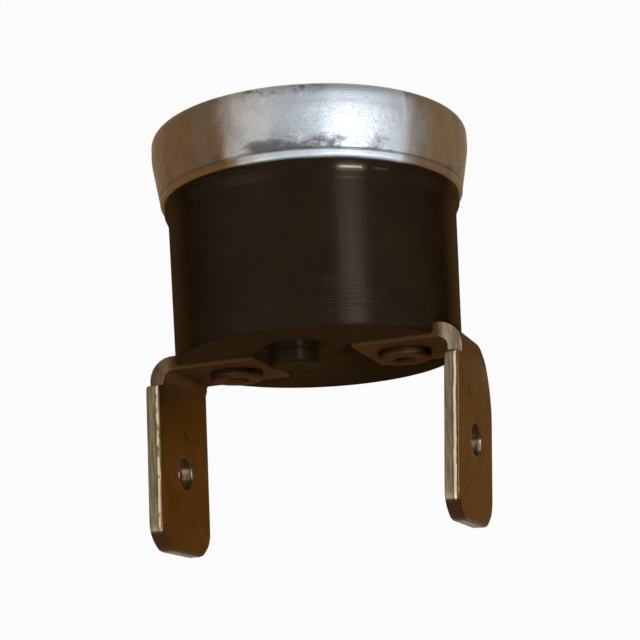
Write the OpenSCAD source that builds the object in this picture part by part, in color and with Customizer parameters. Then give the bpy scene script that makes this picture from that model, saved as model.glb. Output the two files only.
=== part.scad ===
// Manual-reset disc thermostat, standing on its sensing face.
// Z = 0 is the sensing face and +Z points out of the terminal face. The two push-on blades lie
// along X and the reset button stands off the axis towards -Y.

/* [Sensing cap] */
// Outer diameter of the metal cap
cap_d = 17.5; // [17.2:0.1:18.5]
// Height of the cap, from the sensing face to the edge of the crimped lip
cap_h = 4.0; // [3.8:0.1:4.4]
// Thickness of the cap's sheet
cap_t = 0.45; // [0.35:0.05:0.5]
// Outer radius where the sensing face turns up into the wall
cap_corner_r = 0.6; // [0.5:0.1:1]
// Height at which the straight wall ends and starts to lean in towards the lip
lean_z = 1.4; // [1.2:0.1:2.2]
// How far the wall leans in by the crimp
wall_lean = 0.35; // [0:0.05:0.4]
// Height of the crimped lip
lip_h = 0.43; // [0.35:0.01:0.5]
// How far the crimped lip turns in over the housing's flange
lip_turn = 0.2; // [0.1:0.05:0.25]
// Radius of the lip's rolled outer edge
lip_edge_r = 0.18; // [0.12:0.01:0.2]
// Depth of the crease that the crimping roller leaves above the lip
crease_depth = 0.08; // [0.04:0.01:0.12]

/* [Housing] */
// Diameter of the moulded barrel at its terminal face
body_d = 15.5; // [15.3:0.1:15.8]
// How much wider in radius the barrel is at the shoulder, from the mould's draft
barrel_draft = 0.17; // [0:0.01:0.2]
// Length of the barrel that stands out of the cap
barrel_h = 8.7; // [8.2:0.1:10]
// Thickness of the barrel's wall
wall_t = 1.2; // [1:0.05:1.25]
// Thickness of the floor that carries the terminals
floor_t = 3.0; // [2.4:0.1:3.2]
// How much narrower in radius the visible shoulder is than the hidden flange
shoulder_step = 0.15; // [0.08:0.01:0.18]
// Height of the shoulder's straight band beside the lip
shoulder_h = 0.45; // [0.3:0.05:0.7]
// Height over which the shoulder runs in to the barrel
shoulder_taper_h = 0.5; // [0.3:0.05:0.8]
// Width of the bevel round the terminal face
rim_bevel = 0.12; // [0.05:0.01:0.3]
// Radius of the inner bosses that the rivets pass through
boss_r = 1.9; // [1.7:0.05:2]

/* [Terminals] */
// Thickness of the terminal strip
strip_t = 0.8; // [0.6:0.1:0.9]
// Width of the strip where it lies on the housing
strip_w = 5.2; // [4.6:0.1:5.4]
// Distance of the strip's inner end from the axis
strip_in = 2.7; // [2.6:0.05:3]
// How deep the strip lies in its slot
strip_sink = 0.6; // [0.3:0.05:0.7]
// Distance from the axis to the outer face of the upright blade
right_blade_x = 8.9; // [8.7:0.05:9.6]
// Distance from the axis to the outer face of the leaning blade, at its bend
left_blade_x = 8.75; // [8.6:0.05:9.4]
// Angle by which the left blade leans in over the housing
left_lean = 3.5; // [0:0.5:5]
// Height of the right blade's tip over the terminal face
right_reach = 9.9; // [8.5:0.05:12]
// Height of the left blade's tip over the terminal face
left_reach = 9.65; // [8.5:0.05:12]
// Width of the push-on blades
blade_w = 6.3; // [6:0.1:6.6]
// Inner radius of the bend
bend_r = 0.5; // [0.3:0.05:0.6]
// Height of the blades' shoulders over the terminal face
shoulder_z = 1.0; // [0.7:0.05:1.2]
// Radius of the blades' shoulders
shoulder_r = 0.5; // [0.3:0.1:1.2]
// Width of the corner cuts at the blades' tips
tip_cut = 1.15; // [0.8:0.05:1.6]
// Height of the corner cuts at the blades' tips
tip_cut_h = 0.85; // [0.6:0.05:1.6]
// Radius that rounds both corners of those cuts
tip_r = 0.4; // [0.1:0.05:0.6]
// Bevel on the blades' leading edge
tip_bevel = 0.22; // [0.1:0.02:0.3]
// Diameter of the locking hole in each blade
blade_hole_d = 1.7; // [1.4:0.1:2.2]
// Distance of the locking hole from the blade's tip
blade_hole_up = 4.4; // [3.8:0.05:5]

/* [Rivets] */
// Distance of the rivets from the axis
rivet_x = 4.85; // [4.8:0.05:4.95]
// Diameter of the rivets' shanks
shank_d = 2.0; // [1.8:0.1:2.2]
// Diameter of the hole through the hollow rivets
rivet_bore_d = 1.1; // [0.8:0.1:1.3]
// Diameter of the rolled head on the terminal
head_d = 3.0; // [2.8:0.1:3.4]
// Height of the rolled head
head_h = 0.45; // [0.35:0.05:0.6]
// Diameter of the clinched flange inside the housing
clinch_d = 2.7; // [2.6:0.05:2.8]
// Thickness of the clinched flange
clinch_h = 0.4; // [0.3:0.05:0.5]

/* [Reset button] */
// Distance of the button from the axis
button_y = 3.8; // [3.7:0.05:4]
// Diameter of the button
button_d = 2.7; // [2.6:0.05:3]
// How far the button stands out when it isn't pressed
button_out = 1.1; // [0.9:0.05:1.4]
// Travel of the button
button_travel = 0.6; // [0.4:0.05:0.7]
// Radius of the button's retaining flange
button_flange_r = 1.9; // [1.75:0.05:2]
// Thickness of the retaining flange
button_flange_h = 0.5; // [0.4:0.05:0.6]
// Radius of the spigot that centres the return spring
spigot_r = 0.6; // [0.5:0.05:0.65]
// Wire diameter of the return spring
wire_d = 0.2; // [0.16:0.02:0.24]
// Turns of the return spring
spring_turns = 4; // [3:0.5:4]

/* [Snap disc and pin] */
// Diameter of the bimetal disc
disc_d = 12.7; // [12:0.1:12.9]
// Thickness of the bimetal disc
disc_t = 0.2; // [0.15:0.05:0.25]
// Height of the disc's dish
disc_dish = 0.35; // [0.25:0.05:0.4]
// Diameter of the transfer pin
pin_d = 1.5; // [1.3:0.1:1.6]
// Radius of the transfer pin's domed ends
pin_dome_r = 1.5; // [1.2:0.1:3]
// Lift of the transfer pin when the disc snaps
pin_lift = 0.35; // [0.25:0.05:0.4]
// Thickness of the pin guide's plate
guide_t = 1.4; // [1.2:0.1:1.8]
// Height of the boss that guides the pin
guide_boss_h = 1.0; // [0.6:0.1:1.2]
// Radius of the pin guide's boss
guide_boss_r = 1.6; // [1.3:0.1:2]
// Thickness of the skirt that stands the guide on the cap
guide_skirt_t = 0.45; // [0.4:0.05:0.6]

/* [Contacts] */
// Height of the contact arm over the pin guide's plate
arm_rise = 4.15; // [4:0.05:4.5]
// Thickness of the contact arm's sheet
arm_t = 0.2; // [0.15:0.05:0.25]
// Width of the snap frame in the contact arm
arm_w = 4.4; // [4:0.1:4.8]
// Diameter of the contacts' faces
contact_d = 1.7; // [1.4:0.1:1.7]
// Height of the moving contact's head
moving_h = 0.5; // [0.4:0.05:0.6]
// Height of the fixed contact's head
fixed_h = 0.4; // [0.3:0.05:0.5]
// Thickness of the fixed contact's plate
plate_t = 0.5; // [0.4:0.05:0.5]
// Width of the fixed contact's plate
plate_w = 2.6; // [2.4:0.1:3]

/* [Clearances] */
// Clearance between parts that are clamped or seated
seat_gap = 0.02; // [0.01:0.005:0.04]
// Radial clearance round the pin and the button
slide_gap = 0.05; // [0.03:0.01:0.08]
// Radial clearance of the rivets in the parts they pass through
rivet_gap = 0.05; // [0.03:0.01:0.08]
// Room between the pressed button's spigot and the lifted contact arm
spigot_gap = 0.25; // [0.1:0.05:0.3]
// Room between the contact plate's leg and the parts on either side of it
leg_gap = 0.1; // [0.08:0.01:0.15]
// Room round the contact arm's eye for its flexing
flex_gap = 0.15; // [0.14:0.01:0.2]
// Side clearance of each strip in its slot
slot_gap = 0.05; // [0.03:0.01:0.1]

/* [Hidden] */
$fn = 96;
over = 1; // extra length of a cutting shape

// Heights over the sensing face
top_z = cap_h + barrel_h;
floor_z = top_z - floor_t;
disc_room = disc_dish + disc_t + 2 * seat_gap;
guide_z = cap_t + disc_room;
shelf_z = guide_z + guide_t;
arm_z = shelf_z + arm_rise;
arm_top_z = arm_z + arm_t;
plate_z = arm_z - moving_h - fixed_h - plate_t;
strip_z = top_z - strip_sink;
strip_top_z = strip_z + strip_t;
crimp_z = cap_h - lip_h;

// Radii about the axis
cap_r = cap_d / 2;
cap_in_r = cap_r - cap_t;
lip_in_r = cap_in_r - wall_lean - lip_turn;
flange_r = cap_in_r - seat_gap;
groove_r = lip_in_r - seat_gap;
shoulder_out_r = flange_r - shoulder_step;
body_r = body_d / 2;
cavity_r = body_r - wall_t;
pocket_r = disc_d / 2 + 3 * slide_gap;
guide_r = pocket_r + guide_skirt_t;
strip_edge = strip_w / 2;

// The leg of the fixed contact's plate stands between the right rivet and the contact arm's end
leg_x = rivet_x - clinch_d / 2 - leg_gap - plate_t;
arm_end_x = leg_x - 2 * leg_gap;
contact_x = arm_end_x - leg_gap - contact_d / 2;

// The contact arm: an eye on the left rivet, a frame of two rails and an ear under the button
arm_eye_r = 0.56 * clinch_d;
arm_rail = 0.16 * arm_w;
arm_from_x = arm_eye_r + 3 * arm_t - rivet_x;
ear_r = spigot_r + 3 * wire_d;

// How far the cap's wall has leant in at a height
function lean_in(z) = z <= lean_z ? 0 : wall_lean * (z - lean_z) / (crimp_z - lean_z);

// An arc as points, for revolved outlines
function arc(x, y, r, from, to, steps = 8) =
    [for (i = [0:steps]) let (a = from + (to - from) * i / steps) [x + r * cos(a), y + r * sin(a)]];

module at_rivet(side) {
    translate([side * rivet_x, 0, 0]) children();
}

module at_button() {
    translate([0, -button_y, 0]) children();
}

module rod(r, from, to) {
    translate([0, 0, from]) cylinder(r = r, h = to - from);
}

// Sensing cap: a drawn cup whose wall leans in to a lip rolled over the housing's flange
module sensing_cap() {
    crease_z = crimp_z - crease_depth;
    inner_z = crimp_z - lip_turn;
    lip_r = cap_r - wall_lean - crease_depth / 4;
    color("silver") rotate_extrude() polygon(concat(
        [[0, 0]],
        arc(cap_r - cap_corner_r, cap_corner_r, cap_corner_r, -90, 0),
        [[cap_r, lean_z],
         [cap_r - lean_in(crease_z), crease_z],
         [cap_r - lean_in(crease_z) - crease_depth, crimp_z - crease_depth / 3],
         [lip_r, crimp_z + crease_depth / 3]],
        arc(lip_r - lip_edge_r, cap_h - lip_edge_r, lip_edge_r, 0, 90, 5),
        [[lip_in_r, cap_h],
         [lip_in_r, crimp_z],
         [cap_in_r - lean_in(inner_z), inner_z],
         [cap_in_r, lean_z]],
        arc(cap_r - cap_corner_r, cap_corner_r, cap_corner_r - cap_t, 0, -90),
        [[0, cap_t]]
    ));
}

// Bimetal disc: dished towards the cap while it is cold
module bimetal_disc() {
    disc_r = disc_d / 2;
    dish_r = (pow(disc_r, 2) + pow(disc_dish, 2)) / (2 * disc_dish);
    low_z = cap_t + seat_gap;
    rings = 6;
    function rise(r) = dish_r - sqrt(pow(dish_r, 2) - pow(r, 2));
    color("tan") rotate_extrude() polygon(concat(
        [for (i = [0:rings]) let (r = disc_r * i / rings) [r, low_z + rise(r)]],
        [for (i = [rings:-1:0]) let (r = disc_r * i / rings) [r, low_z + rise(r) + disc_t]]
    ));
}

// Pin guide: closes the housing, holds the disc's rim and steers the pin
module pin_guide() {
    boss_top = shelf_z + guide_boss_h;
    dish = 0.85 * disc_dish;
    rim_w = 0.7 * guide_t;
    color("saddlebrown") difference() {
        union() {
            rod(guide_r, cap_t + seat_gap, shelf_z - seat_gap);
            rod(cavity_r - slide_gap, shelf_z - seat_gap, shelf_z + dish);
            rod(guide_boss_r, shelf_z, boss_top);
        }
        rod(pocket_r, 0, guide_z);
        rod(0.44 * disc_d, guide_z - dish, guide_z + dish);
        rod(pin_d / 2 + slide_gap, 0, boss_top + over);
        difference() {
            rod(cavity_r - slide_gap - rim_w, shelf_z, shelf_z + over);
            rod(guide_boss_r, shelf_z - over, shelf_z + 2 * over);
        }
    }
}

// Transfer pin: a ceramic rod with domed ends
module transfer_pin() {
    low_z = cap_t + disc_t + 2 * seat_gap + seat_gap;
    high_z = arm_z - seat_gap;
    color("ivory") intersection() {
        rod(pin_d / 2, low_z, high_z);
        translate([0, 0, high_z - pin_dome_r]) union() {
            sphere(r = pin_dome_r);
            rod(pin_d / 2 + over, low_z - high_z, 0);
        }
        translate([0, 0, low_z + pin_dome_r]) union() {
            sphere(r = pin_dome_r);
            rod(pin_d / 2 + over, 0, high_z - low_z);
        }
    }
}

// Housing: a moulded cup with a thick floor
module housing_profile() {
    seat_z = cap_t + seat_gap;
    groove_z = crimp_z - lip_turn;
    corner = cap_corner_r - cap_t + seat_gap;
    polygon(concat(
        [[guide_r + seat_gap, seat_z],
         [flange_r - corner, seat_z]],
        arc(flange_r - corner, seat_z + corner, corner, -90, 0, 6),
        [[flange_r, lean_z],
         [flange_r - lean_in(groove_z), groove_z - seat_gap],
         [groove_r, crimp_z - seat_gap],
         [groove_r, cap_h + seat_gap],
         [shoulder_out_r, cap_h + seat_gap],
         [shoulder_out_r, cap_h + shoulder_h],
         [body_r + barrel_draft, cap_h + shoulder_h + shoulder_taper_h],
         [body_r, top_z - rim_bevel],
         [body_r - rim_bevel, top_z],
         [0, top_z],
         [0, floor_z],
         [cavity_r, floor_z],
         [cavity_r, shelf_z],
         [guide_r + seat_gap, shelf_z]]
    ));
}

module strip_slot(side, out_x) {
    slot_w = strip_w + 2 * slot_gap;
    notch = 0.3 * strip_t;
    from_x = strip_in - slot_gap;
    mirror([side < 0 ? 1 : 0, 0, 0]) {
        translate([from_x, -slot_w / 2, strip_z]) cube([out_x, slot_w, over + strip_sink]);
        translate([body_r - wall_t, -slot_w / 2, strip_z - notch]) cube([out_x, slot_w, over + notch]);
    }
}

module housing() {
    arm_boss_z = arm_top_z + flex_gap;
    color([0.1, 0.085, 0.07]) difference() {
        union() {
            rotate_extrude() housing_profile();
            intersection() {
                at_rivet(-1) rod(boss_r, arm_boss_z, floor_z + over);
                rod(cavity_r + over / 2, 0, top_z - over);
            }
        }
        strip_slot(-1, left_blade_x);
        strip_slot(1, right_blade_x);
        at_rivet(-1) rod(shank_d / 2 + rivet_gap, 0, top_z + over);
        at_rivet(1) rod(shank_d / 2 + rivet_gap, floor_z - over, top_z + over);
        at_button() rod(button_d / 2 + slide_gap, floor_z - over, top_z + over);
    }
}

// Terminals: a strip in the housing's slot, a right-angled bend and a push-on blade
module blade_outline(length) {
    half = blade_w / 2;
    slope = atan(tip_cut_h / tip_cut);
    low_x = half - tip_cut - tip_r * tan(slope / 2);
    high_y = tip_cut_h + tip_r * tan((90 - slope) / 2);
    edge = concat(
        arc(low_x, tip_r, tip_r, -90, slope - 90, 4),
        arc(half - tip_r, high_y, tip_r, slope - 90, 0, 4),
        arc(half - shoulder_r, length - shoulder_r, shoulder_r, 0, 90)
    );
    difference() {
        polygon(concat(edge, [for (i = [len(edge) - 1:-1:0]) [-edge[i][0], edge[i][1]]]));
        translate([0, blade_hole_up]) circle(d = blade_hole_d);
    }
}

module terminal(blade_x, lean, reach) {
    outer_r = bend_r + strip_t;
    bend_x = blade_x - outer_r;
    bend_z = strip_z + outer_r;
    turn = 90 + lean;
    blade_h = top_z + reach - bend_z;
    neck = top_z + shoulder_z - bend_z + shoulder_r;
    difference() {
        union() {
            translate([strip_in, -strip_edge, strip_z]) cube([bend_x - strip_in, strip_w, strip_t]);
            translate([bend_x, 0, bend_z]) rotate([90, 0, 0]) rotate([0, 0, -90])
                translate([0, 0, -strip_edge]) rotate_extrude(angle = turn)
                translate([bend_r, 0]) square([strip_t, strip_w]);
            translate([bend_x, 0, bend_z]) rotate([0, -lean, 0])
                translate([bend_r, 0, 0]) difference() {
                    union() {
                        translate([0, -strip_edge, 0]) cube([strip_t, strip_w, neck]);
                        translate([0, 0, blade_h]) rotate([90, 0, 90]) mirror([0, 1, 0])
                            linear_extrude(height = strip_t)
                            blade_outline(blade_h - (top_z + shoulder_z - bend_z));
                    }
                    for (side = [0, 1]) translate([side * strip_t, 0, blade_h])
                        rotate([0, 45, 0]) cube([tip_bevel, 2 * blade_w, tip_bevel], center = true);
                }
        }
        at_rivet(1) rod(shank_d / 2 + rivet_gap, strip_z - over, strip_top_z + over);
    }
}

module right_terminal() {
    color([0.45, 0.3, 0.13]) terminal(right_blade_x, 0, right_reach);
}

module left_terminal() {
    color([0.45, 0.3, 0.13]) mirror([1, 0, 0]) terminal(left_blade_x, left_lean, left_reach);
}

// Rivets: hollow, with a rolled head on the terminal and a clinched flange inside
module hollow_rivet(low_z) {
    head_r = head_d / 2;
    bore_r = rivet_bore_d / 2;
    shank_r = shank_d / 2;
    roll = head_h / 2;
    clinch_z = low_z - clinch_h;
    rotate_extrude() polygon(concat(
        [[shank_r, strip_top_z], [head_r - roll / 2, strip_top_z]],
        arc(head_r - roll, strip_top_z + roll, roll, -60, 90, 8),
        arc(bore_r + roll, strip_top_z + roll, roll, 90, 180, 5),
        arc(bore_r + clinch_h / 2, clinch_z + clinch_h / 2, clinch_h / 2, 180, 270, 4),
        [[clinch_d / 2, clinch_z], [clinch_d / 2, low_z], [shank_r, low_z]]
    ));
}

module right_rivet() {
    color([0.5, 0.36, 0.2]) at_rivet(1) hollow_rivet(floor_z - plate_t);
}

module left_rivet() {
    color([0.5, 0.36, 0.2]) at_rivet(-1) hollow_rivet(arm_z - flex_gap);
}

// Contact arm: a stamped snap blade with a bowed tongue between two crimped rails, and an ear
// that takes the return spring
module arm_outline() {
    end_w = contact_d + 2 * arm_t;
    slit = 2.5 * arm_t;
    frame_x = arm_from_x - 2 * arm_t;
    frame_end_x = contact_x - 2.5 * arm_t;
    difference() {
        union() {
            translate([-rivet_x, 0]) circle(r = arm_eye_r);
            translate([-rivet_x, -arm_eye_r]) square([arm_from_x + rivet_x, 2 * arm_eye_r]);
            translate([frame_x, -arm_w / 2]) square([frame_end_x - frame_x, arm_w]);
            translate([0, -end_w / 2]) square([arm_end_x, end_w]);
            translate([-ear_r, -button_y]) square([2 * ear_r, button_y]);
            translate([0, -button_y]) circle(r = ear_r);
        }
        translate([-rivet_x, 0]) circle(r = shank_d / 2 + 2 * rivet_gap);
        for (side = [-1, 1]) translate([arm_from_x, side * (arm_w / 2 - arm_rail - slit / 2) - slit / 2])
            square([frame_end_x - arm_rail - arm_from_x, slit]);
        translate([contact_x, 0]) circle(r = contact_d / 4 + seat_gap);
    }
}

module contact_arm() {
    crimp_r = arm_rail / 2;
    crimp_x = (arm_from_x - ear_r) / 2;
    color("goldenrod") difference() {
        union() {
            translate([0, 0, arm_z]) linear_extrude(height = arm_t) arm_outline();
            for (side = [-1, 1]) translate([crimp_x, side * (arm_w - arm_rail) / 2, arm_z])
                rotate([90, 0, 0]) cylinder(r = crimp_r + arm_t, h = arm_rail, center = true);
        }
        for (side = [-1, 1]) translate([crimp_x, side * (arm_w - arm_rail) / 2, arm_z])
            rotate([90, 0, 0]) cylinder(r = crimp_r, h = arm_rail + seat_gap, center = true);
        translate([0, 0, arm_z - over]) cube([2 * rivet_x, arm_w + over, 2 * over], center = true);
    }
}

module moving_contact() {
    stem_r = contact_d / 4;
    head = moving_h / 2;
    color("gainsboro") translate([contact_x, 0, 0]) union() {
        rod(contact_d / 2, arm_z - moving_h, arm_z);
        rod(stem_r, arm_z - moving_h, arm_top_z + head / 2);
        rod(stem_r + head, arm_top_z, arm_top_z + head);
    }
}

// Fixed contact: a silver rivet on a plate that hangs from the right rivet
module fixed_contact_plate() {
    eye_r = clinch_d / 2 + leg_gap;
    foot_x = pin_d / 2 + 2 * leg_gap;
    color("darkkhaki") difference() {
        union() {
            at_rivet(1) rod(eye_r, floor_z - plate_t, floor_z);
            translate([leg_x, -plate_w / 2, floor_z - plate_t])
                cube([rivet_x - leg_x, plate_w, plate_t]);
            translate([leg_x, -plate_w / 2, plate_z]) cube([plate_t, plate_w, floor_z - plate_z]);
            translate([foot_x, -plate_w / 2, plate_z]) cube([leg_x - foot_x, plate_w, plate_t]);
        }
        at_rivet(1) rod(shank_d / 2 + rivet_gap, floor_z - over, floor_z + over);
        translate([contact_x, 0, 0]) rod(contact_d / 4 + seat_gap, plate_z - over, plate_z + over);
    }
}

module fixed_contact() {
    stem_r = contact_d / 4;
    head = fixed_h / 2;
    color("gainsboro") translate([contact_x, 0, 0]) union() {
        rod(contact_d / 2, plate_z + plate_t, arm_z - moving_h);
        rod(stem_r, plate_z - head / 2, plate_z + plate_t + head / 2);
        rod(stem_r + head, plate_z - head, plate_z);
    }
}

// Reset button: a moulded plunger, held in by its flange
module reset_button() {
    button_r = button_d / 2;
    tip_z = top_z + button_out;
    edge = 0.055 * button_d;
    groove = 0.4 * edge;
    chamfer = spigot_r / 6;
    groove_z = top_z + 0.3 * button_out;
    flange_z = floor_z - button_flange_h;
    spigot_end = arm_top_z + pin_lift + button_travel + spigot_gap;
    color([0.12, 0.1, 0.085]) at_button() rotate_extrude() polygon(concat(
        [[0, spigot_end], [spigot_r - chamfer, spigot_end], [spigot_r, spigot_end + chamfer],
         [spigot_r, flange_z], [button_flange_r, flange_z], [button_flange_r, floor_z],
         [button_r, floor_z], [button_r, groove_z - groove], [button_r - groove, groove_z],
         [button_r, groove_z + groove]],
        arc(button_r - edge, tip_z - edge, edge, 0, 90, 4),
        [[0, tip_z]]
    ));
}

// Return spring: a coil between the button's flange and the contact arm's ear
module reset_spring() {
    coil_r = spigot_r + wire_d;
    low_z = arm_top_z + wire_d / 2 + seat_gap;
    high_z = floor_z - button_flange_h - wire_d / 2 - seat_gap;
    steps = 16;
    sides = 8;
    count = steps * spring_turns;
    function ring(i) = let (a = 360 * i / steps, z = low_z + (high_z - low_z) * i / count)
        [for (k = [0:sides - 1]) let (b = 360 * k / sides, r = coil_r + wire_d / 2 * cos(b))
            [r * cos(a), r * sin(a), z + wire_d / 2 * sin(b)]];
    points = [for (i = [0:count]) each ring(i)];
    walls = [for (i = [0:count - 1], k = [0:sides - 1]) let (n = (k + 1) % sides)
        [i * sides + k, i * sides + n, (i + 1) * sides + n, (i + 1) * sides + k]];
    ends = [[for (k = [sides - 1:-1:0]) k], [for (k = [0:sides - 1]) count * sides + k]];
    color("lightgray") at_button() polyhedron(points = points, faces = concat(walls, ends));
}

housing();
sensing_cap();
bimetal_disc();
pin_guide();
transfer_pin();
left_terminal();
right_terminal();
left_rivet();
right_rivet();
contact_arm();
moving_contact();
fixed_contact_plate();
fixed_contact();
reset_button();
reset_spring();
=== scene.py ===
"""Looks of a manual-reset disc thermostat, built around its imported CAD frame."""

import math

import bmesh
import bpy
from bpy.props import FloatProperty, FloatVectorProperty, PointerProperty
from mathutils import Matrix, Vector, noise
from mathutils.geometry import delaunay_2d_cdt


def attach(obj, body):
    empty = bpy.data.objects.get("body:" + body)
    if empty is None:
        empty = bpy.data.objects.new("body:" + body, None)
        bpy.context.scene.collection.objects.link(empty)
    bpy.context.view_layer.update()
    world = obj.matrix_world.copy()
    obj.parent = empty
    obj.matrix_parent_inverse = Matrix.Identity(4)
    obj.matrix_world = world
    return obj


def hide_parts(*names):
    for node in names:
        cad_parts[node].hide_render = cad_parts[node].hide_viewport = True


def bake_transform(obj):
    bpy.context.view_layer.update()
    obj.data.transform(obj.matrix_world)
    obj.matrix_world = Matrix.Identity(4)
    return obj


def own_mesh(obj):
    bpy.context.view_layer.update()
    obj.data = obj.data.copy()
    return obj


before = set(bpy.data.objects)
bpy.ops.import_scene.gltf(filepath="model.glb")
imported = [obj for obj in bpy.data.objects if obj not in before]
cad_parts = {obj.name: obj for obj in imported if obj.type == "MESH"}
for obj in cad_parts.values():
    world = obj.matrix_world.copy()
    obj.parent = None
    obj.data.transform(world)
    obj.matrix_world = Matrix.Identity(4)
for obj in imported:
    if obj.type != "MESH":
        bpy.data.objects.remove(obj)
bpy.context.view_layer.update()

bl_info = {
    "name": "Manual-reset thermostat",
    "version": (1, 0, 0),
    "blender": (4, 5, 0),
    "location": "3D View > Sidebar > Thermostat",
    "description": "Dresses the pieces of a manual-reset disc thermostat",
    "category": "Object",
}

MM = 0.001

# Sizes and places of the CAD model, in millimetres
TOP_Z = 12.7
SHOULDER_Z = 4.45
CAP_R = 8.75
CAP_LIP_Z = 4.0
CRIMP_Z = CAP_LIP_Z - 0.43
STRIP_Z = TOP_Z - 0.6
STRIP_T = 0.8
RIVET_X = 4.85
BUTTON_Y = -3.8

# Height of the blades' holes, near enough for both
HOLE_Z = 18.0

# Above this height the blades darken towards their root, and the strips below it are matt
BLADE_ROOT_Z = 13.4
STRIP_BROWN = (0.068, 0.031, 0.011)
STRIP_LOOK = {
    "Metallic": 0.3,
    "Roughness": 0.5,
    "Specular IOR Level": 0.0,
    "Specular Tint": (0.43, 0.385, 0.33),
}


# Shader maths


class Socket:
    """A shader socket that can be used in Python expressions."""

    def __init__(self, finish, out):
        self.finish = finish
        self.out = out

    def _with(self, operation, other, turned=False):
        pair = (other, self) if turned else (self, other)
        wide = any(isinstance(p, Socket) and p.out.type in {"VECTOR", "RGBA"} for p in pair)
        kind = "ShaderNodeVectorMath" if wide else "ShaderNodeMath"
        return self.finish.node(kind, {"operation": operation}, dict(enumerate(pair)))

    def __add__(self, other):
        return self._with("ADD", other)

    def __radd__(self, other):
        return self._with("ADD", other, True)

    def __sub__(self, other):
        return self._with("SUBTRACT", other)

    def __rsub__(self, other):
        return self._with("SUBTRACT", other, True)

    def __mul__(self, other):
        return self._with("MULTIPLY", other)

    def __rmul__(self, other):
        return self._with("MULTIPLY", other, True)

    def __abs__(self):
        return self._with("ABSOLUTE", 0)

    def smooth(self, low, high, to_low=0.0, to_high=1.0):
        """A soft step from to_low to to_high while the value goes from low to high."""
        ends = {"From Min": low, "From Max": high, "To Min": to_low, "To Max": to_high}
        return self.finish.node(
            "ShaderNodeMapRange", {"interpolation_type": "SMOOTHSTEP"}, {"Value": self, **ends}
        )

    def fade(self, low, high):
        """A soft step down from 1 to 0 while the value goes from low to high."""
        return self.smooth(low, high, 1.0, 0.0)


class Finish:
    """A material, and the nodes that make its surface."""

    def __init__(self, name, tree=None):
        self.material = None
        if tree is None:
            self.material = bpy.data.materials.new(name)
            self.material.use_nodes = True
            tree = self.material.node_tree
        self.tree = tree
        self.tree.nodes.clear()

    def node(self, kind, settings=None, sockets=None, take=0):
        """Adds a node, applies its settings first, then fills its sockets; gives one output."""
        made = self.tree.nodes.new(kind)
        for name, value in (settings or {}).items():
            setattr(made, name, value)
        for name, value in (sockets or {}).items():
            entry = made.inputs[name]
            if isinstance(value, Socket):
                self.tree.links.new(value.out, entry)
            elif entry.type in {"VECTOR", "RGBA"} and isinstance(value, (int, float)):
                entry.default_value = [value] * len(entry.default_value)
            elif entry.type == "RGBA":
                entry.default_value = (*value[:3], 1)
            else:
                entry.default_value = value
        return Socket(self, made.outputs[take]) if made.outputs else made

    def mix(self, share, first, second):
        """A colour between two colours."""
        return self.node(
            "ShaderNodeMix",
            {"data_type": "RGBA"},
            {0: share, 6: first, 7: second},
            take=2,
        )

    def place(self):
        """The surface point in millimetres, in the frame's axes."""
        return self.node("ShaderNodeTexCoord", take=3) * 1000.0

    def parts(self, vector):
        """The x, y and z of a vector."""
        node = self.node("ShaderNodeSeparateXYZ", sockets={0: vector}).out.node
        return [Socket(self, out) for out in node.outputs]

    def joined(self, x, y, z):
        """A vector from its x, y and z."""
        return self.node("ShaderNodeCombineXYZ", sockets={0: x, 1: y, 2: z})

    def toward(self, angle, inner, outer, ragged=0.0):
        """1 within inner degrees of an azimuth about the axis, and 0 beyond outer degrees."""
        x, y, _ = self.parts(self.place())
        flat = self.node(
            "ShaderNodeVectorMath", {"operation": "NORMALIZE"}, {0: self.joined(x, y, 0.0)}
        )
        a = math.radians(angle)
        facing = self.node(
            "ShaderNodeVectorMath",
            {"operation": "DOT_PRODUCT"},
            {0: flat, 1: (math.cos(a), math.sin(a), 0)},
            take=1,
        )
        return (facing + ragged).smooth(
            math.cos(math.radians(outer)), math.cos(math.radians(inner))
        )

    def noise(self, where, size, detail=4.0, rough=0.55, twist=0.0):
        """Cloudy noise whose blotches are about so many millimetres wide."""
        return self.node(
            "ShaderNodeTexNoise",
            sockets={
                "Vector": where,
                "Scale": 1.0 / size,
                "Detail": detail,
                "Roughness": rough,
                "Distortion": twist,
            },
        )

    def bump(self, height, depth, under=None):
        """A normal from a height, with a depth in millimetres."""
        sockets = {"Height": height, "Strength": 1.0, "Distance": depth * MM}
        if under is not None:
            sockets["Normal"] = under
        return self.node("ShaderNodeBump", sockets=sockets)

    def seen(self):
        """1 for rays that show a thing to the eye: straight, mirrored or through glass."""
        path = self.node("ShaderNodeLightPath").out.node
        names = ("Is Camera Ray", "Is Glossy Ray", "Is Transmission Ray")
        camera, glossy, through = (Socket(self, path.outputs[name]) for name in names)
        return (camera + glossy + through).smooth(0, 1)

    def surface(self, sockets, other=None, share=0.0):
        """Ends the material in a Principled shader, or in a mix of it with a second one.

        The second shader differs from the first only in the sockets that are given for it.
        """
        shader = self.node("ShaderNodeBsdfPrincipled", sockets=sockets)
        if other:
            second = self.node("ShaderNodeBsdfPrincipled", sockets={**sockets, **other})
            shader = self.node("ShaderNodeMixShader", sockets={0: share, 1: shader, 2: second})
        self.node("ShaderNodeOutputMaterial", sockets={"Surface": shader})
        return self.material


def scratches(finish, where, stretch, width):
    """Hairlines: the places where stretched noise passes through its middle value."""
    x, y, z = finish.parts(where)
    sx, sy, sz = stretch
    drawn = finish.noise(finish.joined(x * sx, y * sy, z * sz), 1.0, 2.0, 0.5, 0.4)
    return abs(drawn - 0.5).fade(0.0, width)


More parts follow.
